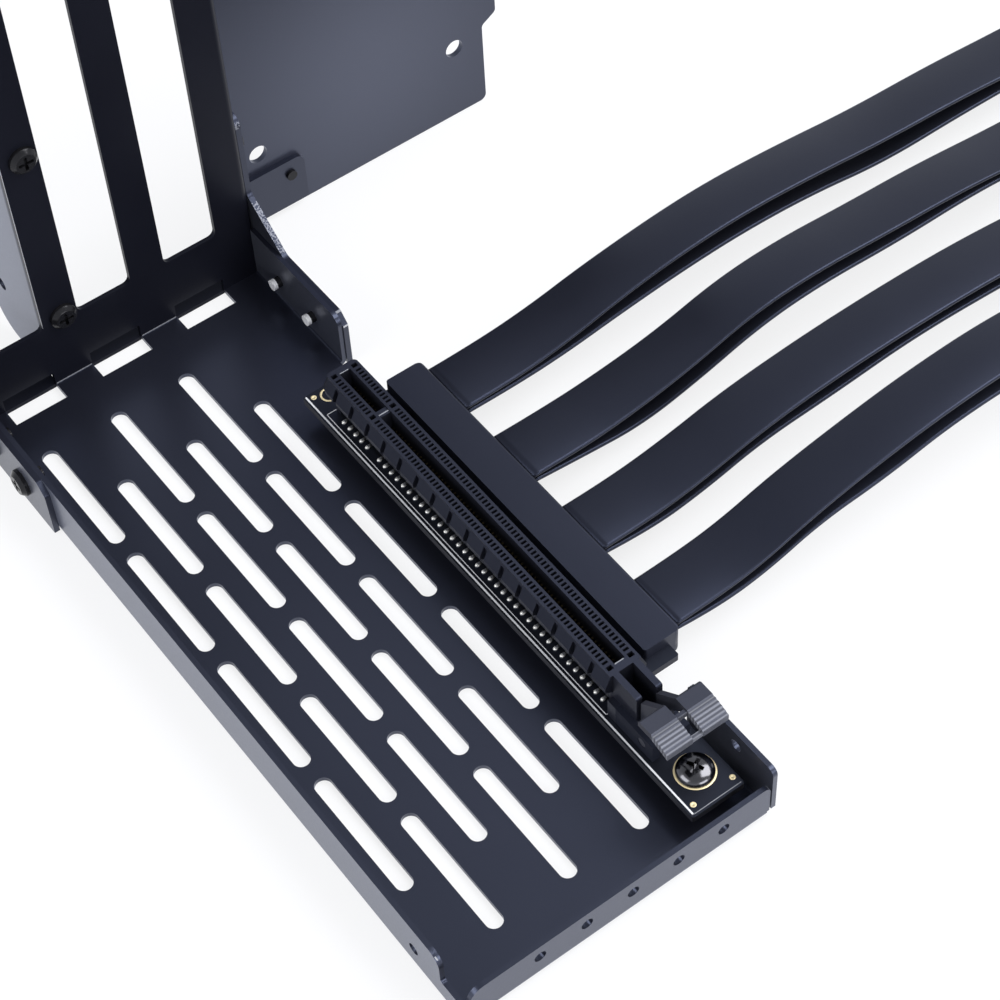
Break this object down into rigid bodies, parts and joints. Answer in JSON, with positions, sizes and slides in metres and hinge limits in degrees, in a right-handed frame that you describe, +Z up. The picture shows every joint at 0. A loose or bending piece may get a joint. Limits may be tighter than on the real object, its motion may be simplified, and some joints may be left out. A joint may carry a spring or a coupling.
{
  "type": "vertical graphics card mount",
  "caption": "Slotted sheet-metal tray with a windowed card plate and a riser slot on flat ribbons, which holds a graphics card upright in a computer case.",
  "frame": {"origin": "centre of the tray's underside", "axes": "+X from the card plate to the front of the tray, +Y from the open side of the tray to the riser slot and its ribbons, +Z up from the tray"},
  "size_m": [0.1885, 0.2921, 0.118],
  "materials": {
    "black_powder_coat": "satin",
    "black_zinc": "satin",
    "plated_brass": "satin",
    "black_board": "semi gloss",
    "black_plastic": "matte",
    "grey_plastic": "matte",
    "gold_plate": "polished",
    "black_jacket": "matte"
  },
  "bodies": {
    "mount": {"tray": "black_powder_coat", "card_plate": "black_powder_coat", "side_plate_right": "black_powder_coat", "side_plate_left": "black_powder_coat", "rear_panel": "black_powder_coat", "rear_bracket": "black_powder_coat", "bracket_screws": "black_zinc", "side_screws_right": "black_zinc", "side_screws_left": "black_zinc", "panel_screw": "black_zinc", "board_standoff_front": "plated_brass", "board_standoff_rear": "plated_brass", "board_screw_front": "black_zinc", "board_screw_rear": "black_zinc", "riser_board": "black_board", "slot_housing": "black_plastic", "slot_contacts": "gold_plate", "cable_cover_top": "black_plastic", "cable_cover_bottom": "black_plastic", "plug_board": "black_board", "plug_cover_bottom": "black_plastic", "plug_cover_top": "black_plastic", "ribbon_1_upper": "black_jacket", "ribbon_1_lower": "black_jacket", "ribbon_2_upper": "black_jacket", "ribbon_2_lower": "black_jacket", "ribbon_3_upper": "black_jacket", "ribbon_3_lower": "black_jacket", "ribbon_4_upper": "black_jacket", "ribbon_4_lower": "black_jacket"},
    "latch": {"slot_latch": "grey_plastic"}
  },
  "joints": [
    {"name": "latch_hinge", "type": "hinge", "parent": "mount", "child": "latch", "pos_m": [0.0619, 0.02445, 0.0102], "axis": [0, 1, 0], "range_deg": [0, 30]}
  ]
}
